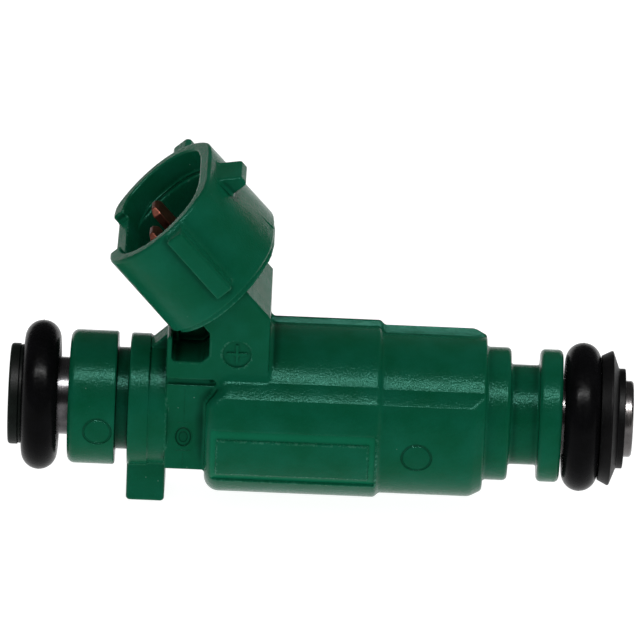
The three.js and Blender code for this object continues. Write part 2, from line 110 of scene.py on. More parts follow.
def wheel(t, r, start, end, radius, first, last):
    """A turned length, with the roundings of its first and last edge."""
    return meet(meet(r - radius, start - t, first), t - end, last)


def polygon(x, z, corners):
    """The distance to a flat outline."""
    best = np.full(x.shape, 1e9, np.float32)
    inside = np.zeros(x.shape, bool)
    for (x0, z0), (x1, z1) in zip(corners, corners[1:] + corners[:1]):
        ex, ez = x1 - x0, z1 - z0
        share = np.clip(((x - x0) * ex + (z - z0) * ez) / (ex * ex + ez * ez), 0, 1)
        best = np.minimum(best, (x - x0 - ex * share) ** 2 + (z - z0 - ez * share) ** 2)
        crosses = (z0 > z) != (z1 > z)
        if z1 != z0:
            inside ^= crosses & (x < x0 + (z - z0) * ex / ez)
    return np.where(inside, -1, 1) * np.sqrt(best)


def inset(corners, depth):
    """An anticlockwise outline moved inwards."""
    moved = []
    count = len(corners)
    for i in range(count):
        lines = []
        for a, b in ((corners[i - 1], corners[i]), (corners[i], corners[(i + 1) % count])):
            dx, dz = b[0] - a[0], b[1] - a[1]
            size = math.hypot(dx, dz)
            lines.append((-dz / size, dx / size, (-dz * a[0] + dx * a[1]) / size + depth))
        (a0, b0, c0), (a1, b1, c1) = lines
        det = a0 * b1 - a1 * b0
        moved.append(((c0 * b1 - c1 * b0) / det, (a0 * c1 - a1 * c0) / det))
    return moved


def plate(x, z, across, corners, low, high, r, edge):
    """An outline drawn out across, with rounded corners and edges."""
    flat = polygon(x, z, inset(corners, r)) - r
    return meet(flat, span(across, low, high), edge)


# ---------------------------------------------------------------- the moulded body

# turned lengths of the body: start, end and radius
CORE = (6, 53, 4.9)
CLIP_GROOVE = (10, 12.2, 5.0)
COLLAR = (5.88, 10.51, 6.55)
KEY_FLANGE = (11.75, 13.74, 6.45)
KEY_HUB = (13, 15.6, 6.28)
WAIST = (15.4, 20, 5.7)
NOSE = (46, 48.99, 6.525)
LOWER_COLLAR = (51.85, 54.07, 6.5)

# the two barrels; their top sector is shallower, between the second and third of these degrees
SECTOR = (27.6, 40, 111.6, 113.4)
UPPER_R, UPPER_SECTOR_R, UPPER_START, UPPER_END = 8.7, 8.08, 19.35, 36.25
LOWER_R, LOWER_SECTOR_R, LOWER_START, LOWER_END = 8.25, 7.5, 30, 46.57
SHOULDER_FROM, SHOULDER_TURN, SHOULDER_SHIFT = 21, 14, 0.9  # the upper barrel starts later on top
CONE_START, CONE_SLOPE = 45.35, 0.53  # the lower barrel's end
CONE_SCALE = 0.88  # makes the cone's field a distance

# the framed panel and its raised pad: start, end and the degrees of the lower and upper side
PANEL = (18.8, 36.0, -36, 6.2)
PAD = (20.5, 35.35, -29.7, -0.2)
FRAME_R, PAD_R = 8.44, 8.63

# bores: radius, and where they start or end
THROUGH_R = 3.82
INLET_BORE_R, INLET_BORE_END = 3.87, 20.1
COIL_ROOM_R, COIL_ROOM = 6.65, (21.95, 45.05)

# the connector, along its tilted rim (up) and out of its mouth (out)
TILT = math.radians(41.4)  # rim plane against the injector's axis
FOOT = (9.5, 17.39)  # the rim's lower straight edge
UP = (math.cos(TILT), math.sin(TILT))
OUT = (-math.sin(TILT), math.cos(TILT))
HEIGHT, LENGTH = 12.37, 9.5  # foot to head, and rim to root
MIDDLE = 5.8  # the oval's widest place
HALF_UP, HALF_ACROSS = 7.45, 9.9
HEAD_DRAFT = 0.45
WALL = 1.25
LEDGE = 1.4  # the well is this much narrower than the mouth
MOUTH_DEPTH, WELL_DEPTH = 2.4, 8.6
STEP_START, STEP_INSET = 2, (0.5, 0.55)
LUG_HALF = 2.1
BLADE_UP, BLADE_ACROSS = 4.35, 3  # middle of the blades
SLOT = (0.45, 1.45)  # half size of the hole round a blade

FAR_RIB, NEAR_RIB = (6.8, 12.0, 0.5), (7.2, 11.2, 0.22)  # foot, reach across and rounding
NOTCH = ((-2, -4.2, -0.85), (WALL + 0.6, 4.2, 3))

# what stands under the connector
SIDE = -5.8  # the near side of its box
SIDE_BOX = ((15.45, SIDE, -4.7), (21, -SIDE, 4.42))
SHOULDERS = ((15.5, -5.42, 3.5), (21, 5.42, 6.0))
TAB = ((KEY_FLANGE[0], -2.75, -9.86), (15.5, 2.75, -4))
NECK_HALF, POCKET_FROM, WEB_HALF = 6, 0.8, 1.2
MARK_PLACE = (22.2, 8.0)  # station and height of the polarity mark
MARK_R, MARK_DEPTH = 1.4, 0.02


def at_rim(up, out):
    """Station and height of a place given in the connector's own directions."""
    return (FOOT[0] + up * UP[0] + out * OUT[0], FOOT[1] + up * UP[1] + out * OUT[1])


def rim_frame(t, z):
    """A place in the connector's own directions."""
    dt, dz = t - FOOT[0], z - FOOT[1]
    return dt * UP[0] + dz * UP[1], dt * OUT[0] + dz * OUT[1]


NECK = [
    (15.4, 5.05), (20, 5.05), (20.6, 4.5), (25.3, 4.5), (25.3, 11.93),
    at_rim(8.24, -LENGTH - 0.5), at_rim(0.6, -LENGTH - 0.5), (15.4, 9.4),
]
POCKET = [(15.85, 7.0), (18.8, 7.0), (19.5, 7.7), (19.5, 10.1), (18.8, 10.9), (17.6, 11.4), (15.85, 9.9)]
WEB = [(12.4, 4.9), (16.4, 4.9), (16.4, 8.66)]
LUG = [(-3.4, -1.0), (-1.1, -1.0), (-1.1, 0.0), (-2.4, 2.0), (-3.4, 2.0)]  # out, and up from the head


def oval(up, y, inset_up, inset_across, draft, corner):
    """The connector's outline: an ellipse cut straight at its foot and head."""
    a, b = HALF_UP - inset_up, HALF_ACROSS - inset_across
    du = up - MIDDLE
    k0 = np.sqrt((du / a) ** 2 + (y / b) ** 2) + 1e-6
    k1 = np.sqrt((du / a**2) ** 2 + (y / b**2) ** 2) + 1e-6
    ellipse = k0 * (k0 - 1) / k1
    ellipse = meet(ellipse, inset_up - up, corner)
    return meet(ellipse, up - (HEIGHT - inset_up) - draft, corner)


def turned_lengths(t, r):
    """The collars and flanges from the inlet end to the waist."""
    body = wheel(t, r, *CORE, 0.1, 0.1)
    body = join(body, wheel(t, r, *CLIP_GROOVE, 0.05, 0.05), 0.1)
    body = join(body, wheel(t, r, *COLLAR, 0.75, 0.22), 0.15)
    flange = join(wheel(t, r, *KEY_FLANGE, 0.25, 0.12), wheel(t, r, *KEY_HUB, 0.1, 0.12), 0.1)
    body = join(body, flange, 0.15)
    return join(body, wheel(t, r, *WAIST, 0.1, 0.1), 0.1)


def on_barrel(t, r, deg, outline):
    """A rectangle laid round the barrel."""
    start, end, low, high = outline
    arc = r * math.pi / 180
    return np.maximum(span(t, start, end), np.maximum(deg - high, low - deg) * arc)


def barrel(t, r, deg):
    """The two large diameters, with their shallower upper sector and the framed panel."""
    high = np.interp(deg, SECTOR, [UPPER_R, UPPER_SECTOR_R, UPPER_SECTOR_R, UPPER_R])
    low = np.interp(deg, SECTOR, [LOWER_R, LOWER_SECTOR_R, LOWER_SECTOR_R, LOWER_R])
    turn = np.clip((deg - SHOULDER_FROM) / SHOULDER_TURN, 0, 1)
    start = UPPER_START + SHOULDER_SHIFT * turn * turn * (3 - 2 * turn)
    upper = meet(r - high, start - t, 1.5)
    upper = meet(upper, t - UPPER_END, 0.4)
    cone = (r - LOWER_R + (t - CONE_START) * CONE_SLOPE) * CONE_SCALE
    lower = meet(r - low, cone, 0.15)
    lower = meet(lower, t - LOWER_END, 0.25)
    lower = np.maximum(lower, LOWER_START - t)
    body = join(upper, lower, 0.45)
    for angle in (deg, np.where(deg < 0, -180 - deg, 180 - deg)):
        pad = on_barrel(t, r, angle, PAD)
        groove = np.maximum(np.maximum(on_barrel(t, r, angle, PANEL), -pad), FRAME_R - r)
        body = cut(body, groove, 0.13)
        body = cut(body, np.maximum(pad, PAD_R - r), 0.05)
    return body


def add_neck(body, t, y, z):
    """The upright block below the connector, with its two pockets, its web and seats for round marks."""
    neck = plate(t, z, y, NECK, -NECK_HALF, NECK_HALF, 0.3, 0.3)
    body = join(body, neck, np.where(t < 19.6, 0.15, 0.5))  # a tight fillet beside the pockets
    body = cut(body, plate(t, z, np.abs(y), POCKET, POCKET_FROM, 8, 0.45, 0.1), 0.15)
    body = join(body, plate(t, z, y, WEB, -WEB_HALF, WEB_HALF, 0.05, 0.15), 0.12)
    disc = np.hypot(t - MARK_PLACE[0], z - MARK_PLACE[1]) - MARK_R
    return cut(body, np.maximum(disc, -SIDE - MARK_DEPTH - np.abs(y)), 0.05)


def connector(up, y, out):
    """The outside of the connector: its shell, stepped root, side ribs and latch lug."""
    draft = np.clip(up - MIDDLE, 0, HEIGHT) / (HEIGHT - MIDDLE) * HEAD_DRAFT * np.clip(-out / LENGTH, 0, 1.1)
    shell = oval(up, y, 0, 0, draft, 0.7)
    shell = meet(shell, span(out, -LENGTH, 0), 0.28)
    step = meet(oval(up, y, *STEP_INSET, draft, 0.6), span(out, -LENGTH - 0.6, -STEP_START), 0.15)
    shell = join(shell, step, 0.1)
    foot, reach, corner = [np.where(y > 0, far, near) for far, near in zip(FAR_RIB, NEAR_RIB)]
    rib = boxed(up, np.abs(y), out, (foot, 7, -8.0), (9.0, reach, -0.35), corner)
    shell = join(shell, rib, 0.3)
    lug = plate(out, up - HEIGHT, y, LUG, -LUG_HALF, LUG_HALF, 0.3, 0.35)
    return join(shell, lug, 0.3)


def socket(up, y, out):
    """The inside of the connector: a mouth, a narrower well below its ledge and a notch in the foot."""
    mouth = meet(oval(up, y, WALL, WALL, 0, 0.9), span(out, -MOUTH_DEPTH, 3), 0.15)
    well = meet(oval(up, y, WALL, WALL + LEDGE, 0, 0.7), span(out, -WELL_DEPTH, 1), 0.3)
    notch = boxed(up, y, out, *NOTCH, 0.25)
    return join(join(mouth, well, 0.12), notch, 0.1)


def bores(t, r):
    """The room for the tube, the coil and the valve body."""
    inlet = np.maximum(r - INLET_BORE_R, t - INLET_BORE_END)
    coil_room = np.maximum(r - COIL_ROOM_R, span(t, *COIL_ROOM))
    return np.minimum(np.minimum(inlet, coil_room), r - THROUGH_R)


def overmould(t, y, z):
    """The whole green moulding."""
    r = np.hypot(y, z)
    body = turned_lengths(t, r)
    body = join(body, boxed(t, y, z, *TAB, 0.4), 0.15)
    body = join(body, boxed(t, y, z, *SIDE_BOX, 0.15), 0.2)
    body = join(body, boxed(t, y, z, *SHOULDERS, 0.1), 0.12)
    body = join(body, barrel(t, r, np.degrees(np.arctan2(z, -y))), 0.3)
    body = join(body, wheel(t, r, *NOSE, 0.1, 0.45), 0.35)
    body = join(body, wheel(t, r, *LOWER_COLLAR, 0.5, 0.5), 0.3)
    body = add_neck(body, t, y, z)
    up, out = rim_frame(t, z)
    body = join(body, connector(up, y, out), 0.35)
    body = cut(body, socket(up, y, out), 0.2)
    half_up, half_across = SLOT
    for mid in (-BLADE_ACROSS, BLADE_ACROSS):
        low = (BLADE_UP - half_up, mid - half_across, -10.5)
        high = (BLADE_UP + half_up, mid + half_across, -8)
        body = cut(body, boxed(up, y, out, low, high, 0.1), 0.15)
    return cut(body, bores(t, r), 0.05)


# ---------------------------------------------------------------- meshes from fields

TO_MEAN = 0.02  # how strongly a vertex is held to the mean of its crossings
CREVICE, SHELTER = 0.6, 2.2  # how far out a surface looks for others, for its crevice_shade and hollow_shade attributes, which drive painted shade in its material


def sample(field, points):
    """The field at points, given as three rows."""
    parts = [points[:, i : i + CHUNK] for i in range(0, points.shape[1], CHUNK)]
    return np.concatenate(list(POOL.map(lambda p: field(p[0], p[1], p[2]), parts)))


def normals_of(field, points, reach=0.012):
    """The field's direction of steepest rise, from four corners round each point."""
    total = np.zeros_like(points)
    for corner in ((1, -1, -1), (-1, -1, 1), (-1, 1, -1), (1, 1, 1)):
        k = np.array(corner, np.float32)[:, None]
        total += k * sample(field, points + k * np.float32(reach))
    return total / np.maximum(np.linalg.norm(total, axis=0), 1e-9)


def crossings(field, value, a, low, h):
    """Where the surface crosses the grid's edges along one axis, with its normal and the four cells there."""
    count = np.array(value.shape)
    first = np.take(value, range(count[a] - 1), axis=a)
    last = np.take(value, range(1, count[a]), axis=a)
    where = np.argwhere((first < 0) != (last < 0))
    f0, f1 = first[tuple(where.T)], last[tuple(where.T)]
    start = (low + h * where).T.astype(np.float32)
    s0, s1 = np.zeros_like(f0), np.ones_like(f0)
    g0, g1 = f0.copy(), f1.copy()
    for _ in range(3):
        s = np.clip(s0 + (s1 - s0) * g0 / (g0 - g1), s0 + 1e-4, s1 - 1e-4)
        point = start.copy()
        point[a] += s * h
        g = sample(field, point)
        same = (g < 0) == (g0 < 0)
        s0, g0 = np.where(same, s, s0), np.where(same, g, g0)
        s1, g1 = np.where(same, s1, s), np.where(same, g1, g)
    b, c = (a + 1) % 3, (a + 2) % 3
    corners = []
    for db, dc in ((0, 0), (1, 0), (1, 1), (0, 1)):
        cell = where.copy()
        cell[:, b] -= db
        cell[:, c] -= dc
        corners.append(np.ravel_multi_index(cell.T, count - 1))
    quad = np.stack(corners, 1)
    quad = np.where((f0 < 0)[:, None], quad, quad[:, ::-1])
    return point, normals_of(field, point), quad


def settle(points, normals, faces, middle, h):
    """The vertex of each cell: near the mean of its crossings, where the planes through them meet."""
    number_of_cells = middle.shape[1]
    total = np.zeros((number_of_cells, 13))
    n = normals
    for k in range(4):
        at = faces[:, k]
        rel = points - middle[:, at]
        away = (n * rel).sum(0)
        rows = [np.ones(len(at)), *rel]
        rows += [n[0] * n[0], n[0] * n[1], n[0] * n[2], n[1] * n[1], n[1] * n[2], n[2] * n[2]]
        rows += [n[0] * away, n[1] * away, n[2] * away]
        for i, row in enumerate(rows):
            total[:, i] += np.bincount(at, row, number_of_cells)
    number = total[:, 0]
    mass = total[:, 1:4] / number[:, None]
    ata = total[:, [4, 5, 6, 5, 7, 8, 6, 8, 9]].reshape(-1, 3, 3)
    right = total[:, 10:13] - np.einsum("nij,nj->ni", ata, mass)
    ata = ata + np.eye(3) * (TO_MEAN * number)[:, None, None]
    offset = mass + np.linalg.solve(ata, right[..., None])[..., 0]
    return middle.T + np.clip(offset, -h / 2, h / 2)


def contour(field, low, high, h):
    """Dual contouring: one vertex in each cell that the surface crosses, on its edges and corners."""
    low = np.array(low, np.float32)
    count = np.ceil((np.array(high) - low) / h).astype(int) + 1
    axes = [(low[a] + h * np.arange(count[a])).astype(np.float32) for a in range(3)]
    yy, zz = [g.ravel() for g in np.meshgrid(axes[1], axes[2], indexing="ij")]
    planes = POOL.map(lambda x: field(np.full(yy.size, x, np.float32), yy, zz), axes[0])
    value = np.stack(list(planes)).reshape(count)
    found = [crossings(field, value, a, low, h) for a in range(3)]
    points = np.concatenate([f[0] for f in found], 1)
    normals = np.concatenate([f[1] for f in found], 1)
    quads = np.concatenate([f[2] for f in found])
    used, faces = np.unique(quads, return_inverse=True)
    faces = faces.reshape(quads.shape)
    middle = low[:, None] + h * (np.stack(np.unravel_index(used, count - 1)) + 0.5)
    return settle(points, normals, faces, middle, h).astype(np.float32), faces


def link(name, mesh, body, *nodes, slot, material):
    """A piece on a body, in place of the named CAD nodes."""
    piece = bpy.data.objects.new(name, mesh)
    bpy.context.scene.collection.objects.link(piece)
    mesh.materials.append(material)
    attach(piece, body)
    if nodes:
        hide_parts(*nodes)
    return piece


def mesh_of(name, points, faces, loop_normals):
    """A mesh in metres from points in stations, with the normal of each face corner."""
    mesh = bpy.data.meshes.new(name)
    count, corners = faces.shape
    mesh.vertices.add(len(points))
    mesh.vertices.foreach_set("co", ((points + [INLET, 0, 0]) * MM).astype(np.float32).ravel())
    mesh.loops.add(count * corners)
    mesh.loops.foreach_set("vertex_index", faces.astype(np.int32).ravel())
    mesh.polygons.add(count)
    mesh.polygons.foreach_set("loop_start", np.arange(0, count * corners, corners, dtype=np.int32))
    mesh.polygons.foreach_set("use_smooth", np.ones(count, bool))
    mesh.update(calc_edges=True)
    mesh.validate()
    mesh.normals_split_custom_set(loop_normals)
    return mesh


def sculpt(name, field, low, high, h, wear=0.35):
    """The mesh of a field, with an edge attribute for wear, and crevice_shade and hollow_shade attributes for
    painted shade in its material.
    """
    points, faces = contour(field, low, high, h)
    corner = points[faces]
    centre = corner.mean(1, keepdims=True)
    at = (corner * 0.72 + centre * 0.28).reshape(-1, 3).T  # off the edges, where normals are sure
    mesh = mesh_of(name, points, faces, normals_of(field, np.ascontiguousarray(at)).T)
    rows = np.ascontiguousarray(points.T)
    normal = normals_of(field, rows, 0.1)
    edge = np.clip((sample(field, rows - normal * wear) + wear) / wear, 0, 1)
    crevice_shade = np.clip(1 - sample(field, rows + normal * CREVICE) / CREVICE, 0, 1)
    hollow_shade = np.clip(1 - sample(field, rows + normal * SHELTER) / SHELTER, 0, 1)
    for label, values in (("edge", edge), ("crevice_shade", crevice_shade), ("hollow_shade", hollow_shade)):
        layer = mesh.attributes.new(label, "FLOAT", "POINT")
        layer.data.foreach_set("value", values.astype(np.float32))
    return mesh


# ---------------------------------------------------------------- turned pieces


def filleted(corners, steps=6):
    """A closed outline of (station, radius, rounding), its corners turned into arcs with their normals."""
    points = np.array([c[:2] for c in corners], float)
    ahead = np.roll(points, -1, 0)
    area = 0.5 * np.sum(points[:, 0] * ahead[:, 1] - ahead[:, 0] * points[:, 1])
    if area < 0:
        return filleted(corners[::-1], steps)
    result = []
    count = len(corners)
    for i, (*_, rounding) in enumerate(corners):
        before, here, after = points[i - 1], points[i], points[(i + 1) % count]
        d0, d1 = here - before, after - here
        len0, len1 = np.linalg.norm(d0), np.linalg.norm(d1)
        d0, d1 = d0 / len0, d1 / len1
        turn = math.atan2(d0[0] * d1[1] - d0[1] * d1[0], float(d0 @ d1))
        reach = min(max(rounding, 0.02) * abs(math.tan(turn / 2)), 0.49 * len0, 0.49 * len1)
        radius = reach / max(abs(math.tan(turn / 2)), 1e-6)
        side = 1 if turn > 0 else -1
        n0 = np.array([d0[1], -d0[0]])
        start = here - d0 * reach
        centre = start - n0 * radius * side
        for k in range(steps + 1):
            angle = turn * k / steps
            c, s = math.cos(angle), math.sin(angle)
            n = np.array([n0[0] * c - n0[1] * s, n0[0] * s + n0[1] * c])
            result.append((*(centre + n * radius * side), *n))
    return np.array(result)


def spun(name, outline, sides=160):
    """A body turned about the injector's axis from an outline with its normals."""
    count = len(outline)
    angle = np.arange(sides) * 2 * math.pi / sides
    c, s = np.cos(angle), np.sin(angle)
    points = np.stack([
        np.repeat(outline[None, :, 0], sides, 0),
        outline[None, :, 1] * c[:, None],
        outline[None, :, 1] * s[:, None],
    ], -1).reshape(-1, 3)
    normals = np.stack([
        np.repeat(outline[None, :, 2], sides, 0),
        outline[None, :, 3] * c[:, None],
        outline[None, :, 3] * s[:, None],
    ], -1).reshape(-1, 3)
    i, j = np.meshgrid(np.arange(sides), np.arange(count), indexing="ij")
    i, j = i.ravel(), j.ravel()
    i1, j1 = (i + 1) % sides, (j + 1) % count
    faces = np.stack([i * count + j, i * count + j1, i1 * count + j1, i1 * count + j], 1)
    return mesh_of(name, points, faces, normals[faces].reshape(-1, 3))


def turned(name, corners):
    """A body turned from rounded corners."""
    return spun(name, filleted(corners))


FLASH_HEIGHT, FLASH_HALF = 0.035, 0.028  # mm, and radians round the seal's section


def o_ring(name, middle, seat, section):
    """A seal with the fine flash line that its mould leaves round the outside and the bore."""
    rho = section / 2
    top = math.pi / 2
    phi = np.concatenate([np.linspace(a + 0.06, a + math.pi - 0.06, 28) for a in (top, -top)])
    ridges = np.array([top + d for d in (-0.03, -0.012, 0, 0.012, 0.03)])
    phi = np.sort(np.concatenate([phi, ridges, ridges + math.pi]) % (2 * math.pi))
    from_ridge = np.abs((phi + top) % math.pi)
    from_ridge = np.minimum(from_ridge, math.pi - from_ridge)
    radius = rho + FLASH_HEIGHT * np.clip(1 - from_ridge / FLASH_HALF, 0, 1)
    outline = np.stack([
        middle + radius * np.cos(phi),
        seat + rho + radius * np.sin(phi),
        np.cos(phi),
        np.sin(phi),
    ], 1)
    return spun(name, outline, 192)


# ---------------------------------------------------------------- materials


class Surface:
    """A node material around one Principled shader."""

    def __init__(self, name):
        self.material = bpy.data.materials.new(name)
        self.material.use_nodes = True
        self.tree = self.material.node_tree
        self.shader = self.tree.nodes["Principled BSDF"]
        coordinates = self.node("ShaderNodeTexCoord")
        self.place = self.node("ShaderNodeMapping", Vector=coordinates.outputs["Object"], Scale=(1000,) * 3)

    def node(self, kind, props=None, **inputs):
        """A new node; its inputs are given by name, or by number as _0."""
        node = self.tree.nodes.new(kind)
        for key, value in (props or {}).items():
            setattr(node, key, value)
        for key, value in inputs.items():
            socket = node.inputs[int(key[1:])] if key[0] == "_" else node.inputs[key.replace("_", " ")]
            self.feed(socket, value)
        return node

    def feed(self, socket, value):
        if isinstance(value, bpy.types.NodeSocket):
            self.tree.links.new(value, socket)
        else:
            socket.default_value = value

    def set(self, **inputs):
        for key, value in inputs.items():
            self.feed(self.shader.inputs[key.replace("_", " ")], value)

    def noise(self, scale, detail=3.0, roughness=0.55, stretch=None):
        vector = self.place.outputs[0]
        if stretch:
            vector = self.node("ShaderNodeMapping", Vector=vector, Scale=stretch).outputs[0]
        made = self.node("ShaderNodeTexNoise", Vector=vector, Scale=scale, Detail=detail, Roughness=roughness)
        return made.outputs["Fac"]

    def ramp(self, value, low, high, bottom=0.0, top=1.0):
        made = self.node("ShaderNodeMapRange", {"clamp": True}, Value=value)
        for key, v in (("From Min", low), ("From Max", high), ("To Min", bottom), ("To Max", top)):
            made.inputs[key].default_value = v
        return made.outputs[0]

    def math(self, kind, a, b):
        return self.node("ShaderNodeMath", {"operation": kind}, _0=a, _1=b).outputs[0]

    def mix(self, factor, a, b):
        return self.node("ShaderNodeMix", {"data_type": "RGBA"}, _0=factor, _6=a, _7=b).outputs[2]

    def attribute(self, name):
        return self.node("ShaderNodeAttribute", {"attribute_name": name}).outputs["Fac"]

    def axes(self):
        """The three coordinates of a point, in mm."""
        return self.node("ShaderNodeSeparateXYZ", Vector=self.place.outputs[0]).outputs

    def oval_on_near_side(self, station, height, across, tall):
        """How far a point lies inside a round mould mark on the near side, and on its outline."""
        x, y, z = self.axes()
        dx = self.math("DIVIDE", self.math("SUBTRACT", x, INLET + station), across)
        dz = self.math("DIVIDE", self.math("SUBTRACT", z, height), tall)
        square = self.math("ADD", self.math("MULTIPLY", dx, dx), self.math("MULTIPLY", dz, dz))
        away = self.math("SQRT", square, 0.0)
        near = self.ramp(y, -4.0, -4.2)  # none on the far side
        disc = self.math("MULTIPLY", self.ramp(away, 0.96, 0.9), near)
        line = self.ramp(self.math("ABSOLUTE", self.math("SUBTRACT", away, 1.0), 0.0), 0.1, 0.05)
        return disc, self.math("MULTIPLY", line, near)

    def bump(self, height, depth_mm, normal=None):
        made = self.node("ShaderNodeBump", Height=height, Strength=1.0, Distance=depth_mm * MM)
        if normal:
            self.feed(made.inputs["Normal"], normal)
        return made.outputs[0]


def rgb(*screen):
    """A colour as it looks on screen, 0 to 255, as the shader wants it."""
    linear = [v / 255 / 12.92 if v <= 10 else ((v / 255 + 0.055) / 1.055) ** 2.4 for v in screen]
    return (*linear, 1)


# middles of the round mould marks: station and height
COLLAR_MARK = (8.85, -0.72)
BARREL_MARK = (40.02, -1.33)
RING_MARK = (17.25, -1.15)


def mould_marks(s, colour):
    """The colour with painted shade in the round marks' sunk outlines and discs, and how deep they are sunk.
    """
    sunk = None
    for place, across, tall, strength in (
        (COLLAR_MARK, 1.33, 1.33, 0.5),
        (BARREL_MARK, 1.42, 1.42, 0.6),
        (RING_MARK, 0.72, 0.95, 1.0),
        (RING_MARK, 0.4, 0.55, 0.8),
    ):
        disc, outline = s.oval_on_near_side(*place, across, tall)
        # painted shade: the sunk outline and disc of each mark are darkened
        colour = s.mix(s.math("MULTIPLY", outline, 0.75 * strength), colour, rgb(0, 34, 20))
        colour = s.mix(s.math("MULTIPLY", disc, 0.25 * strength), colour, rgb(0, 46, 28))
        depth = s.math("ADD", s.math("MULTIPLY", disc, 0.4), outline)
        sunk = depth if sunk is None else s.math("ADD", sunk, depth)
    return colour, sunk


def green_nylon():
    """Cloudy green with flow streaks, painted shade in crevices, hollows and the sunk mould marks, scuffed
    edges, specks and a fine moulded grain.
    """
    s = Surface("glass_filled_nylon_green")
    cloud = s.noise(0.28, 4.0)
    colour = s.mix(s.ramp(cloud, 0.35, 0.68), rgb(8, 81, 54), rgb(14, 90, 66))
    streak = s.noise(0.9, 3.0, 0.6, (0.25, 1, 1))
    colour = s.mix(s.ramp(streak, 0.52, 0.75, 0, 0.35), colour, rgb(12, 84, 60))
    # painted shade: darker green in crevices and deep in hollows, where little light reaches
    colour = s.mix(s.ramp(s.attribute("crevice_shade"), 0.35, 1.0, 0, 0.5), colour, rgb(0, 52, 27))
    colour = s.mix(s.ramp(s.attribute("hollow_shade"), 0.45, 0.92, 0, 0.85), colour, rgb(0, 24, 13))
    colour = s.mix(s.math("MULTIPLY", s.attribute("frame"), 0.55), colour, rgb(14, 112, 78))
    broken = s.noise(2.6, 5.0, 0.7)
    worn = s.math("MULTIPLY", s.ramp(s.attribute("edge"), 0.25, 0.75), s.ramp(broken, 0.47, 0.6))
    colour = s.mix(s.math("MULTIPLY", worn, 0.55), colour, rgb(92, 156, 134))
    colour, sunk = mould_marks(s, colour)
    cells = s.node("ShaderNodeTexVoronoi", Vector=s.place.outputs[0], Scale=1.15)
    speck = s.ramp(cells.outputs["Distance"], 0.05, 0.085, 1, 0)
    rare = s.ramp(s.noise(0.8, 1.0), 0.6, 0.68)
    colour = s.mix(s.math("MULTIPLY", s.math("MULTIPLY", speck, rare), 0.5), colour, rgb(120, 165, 148))
    grain = s.noise(4.2, 2.0, 0.6)
    rough = s.math("ADD", s.ramp(grain, 0.3, 0.7, 0.16, 0.26), s.math("MULTIPLY", worn, 0.18))
    normal = s.bump(s.math("MULTIPLY", sunk, -1.0), 0.09)
    normal = s.bump(s.noise(0.5, 2.0), 0.04, normal)
    normal = s.bump(grain, 0.034, normal)
    normal = s.bump(s.noise(11.0, 2.0, 0.5), 0.008, normal)
    s.set(Base_Color=colour, Roughness=rough, Normal=normal, IOR=1.45)
    s.set(Specular_IOR_Level=0.075, Specular_Tint=(0.3, 1.0, 0.78, 1))
    return s.material


def rubber():
    """Black rubber with a little dust."""
    s = Surface("nitrile_rubber_black")
    cloud = s.noise(0.5, 4.0)
    colour = s.mix(s.ramp(cloud, 0.35, 0.7), rgb(9, 9, 10), rgb(14, 14, 16))
    dust = s.ramp(s.noise(5.0, 4.0, 0.7), 0.66, 0.78, 0, 0.15)
    colour = s.mix(dust, colour, rgb(58, 60, 62))
    rough = s.ramp(s.noise(2.2, 4.0), 0.3, 0.7, 0.2, 0.32)
    normal = s.bump(s.noise(3.0, 3.0), 0.012)
    s.set(Base_Color=colour, Roughness=rough, Normal=normal, IOR=1.5, Specular_IOR_Level=0.025)
    return s.material


def dark_plastic(name, low, high):
    """Moulded plastic with a grain and pale scuffs."""
    s = Surface(name)
    colour = s.mix(s.ramp(s.noise(0.9, 5.0), 0.35, 0.7), low, high)
    scuffs = s.ramp(s.noise(2.4, 6.0, 0.75, (1, 1, 0.4)), 0.62, 0.74, 0, 0.45)
    colour = s.mix(scuffs, colour, rgb(52, 60, 57))
    grain = s.noise(6.0, 3.0)
    rough = s.ramp(grain, 0.3, 0.7, 0.38, 0.52)
    s.set(Base_Color=colour, Roughness=rough, Normal=s.bump(grain, 0.015), IOR=1.47, Specular_IOR_Level=0.07)
    return s.material


def metal(name, low, high, gloss=(0.18, 0.34), lines=(26.0, 1, 1), tint=None):
    """Turned or drawn metal: fine lines round the axis, blotches and small marks."""
    s = Surface(name)
    colour = s.mix(s.ramp(s.noise(0.7, 4.0), 0.35, 0.68), low, high)
    if tint:
        colour = s.mix(s.ramp(s.noise(0.35, 3.0), 0.52, 0.7, 0, 0.6), colour, tint)
    cut_lines = s.noise(1.0, 3.0, 0.6, lines)
    rough = s.ramp(cut_lines, 0.3, 0.7, *gloss)
    normal = s.bump(cut_lines, 0.004)
    normal = s.bump(s.noise(2.5, 4.0), 0.006, normal)
    s.set(Base_Color=colour, Roughness=rough, Normal=normal, Metallic=1.0)
    return s.material


def woven_mesh():
    """The filter's cloth."""
    s = Surface("filter_cloth")
    x, y, z = s.axes()
    around = s.math("MULTIPLY", s.math("ARCTAN2", y, z), 2.2)  # mm round the cloth
    lengthways, crossways = [s.math("SINE", s.math("MULTIPLY", v, 36.0), 0.0) for v in (x, around)]
    weave = s.math("MULTIPLY", lengthways, crossways)
    colour = s.mix(s.ramp(weave, -0.4, 0.6), rgb(120, 116, 100), rgb(206, 202, 184))
    s.set(Base_Color=colour, Roughness=0.7, Normal=s.bump(weave, 0.02))
    return s.material


def windings():
    """The coil's turns of enamelled wire, side by side, with painted shade between the turns."""
    s = Surface("enamelled_copper_wire")
    wire = s.math("SINE", s.math("MULTIPLY", s.axes()[0], 42.0), 0.0)
    # painted shade: dark in the valleys between turns, plain copper on their crowns
    colour = s.mix(s.ramp(wire, -1, 0.4), rgb(70, 24, 10), rgb(190, 98, 50))
    colour = s.mix(s.ramp(s.noise(1.5, 3.0), 0.4, 0.7, 0, 0.4), colour, rgb(150, 66, 30))
    s.set(Base_Color=colour, Roughness=0.28, Metallic=0.9, Normal=s.bump(wire, 0.03))
    return s.material


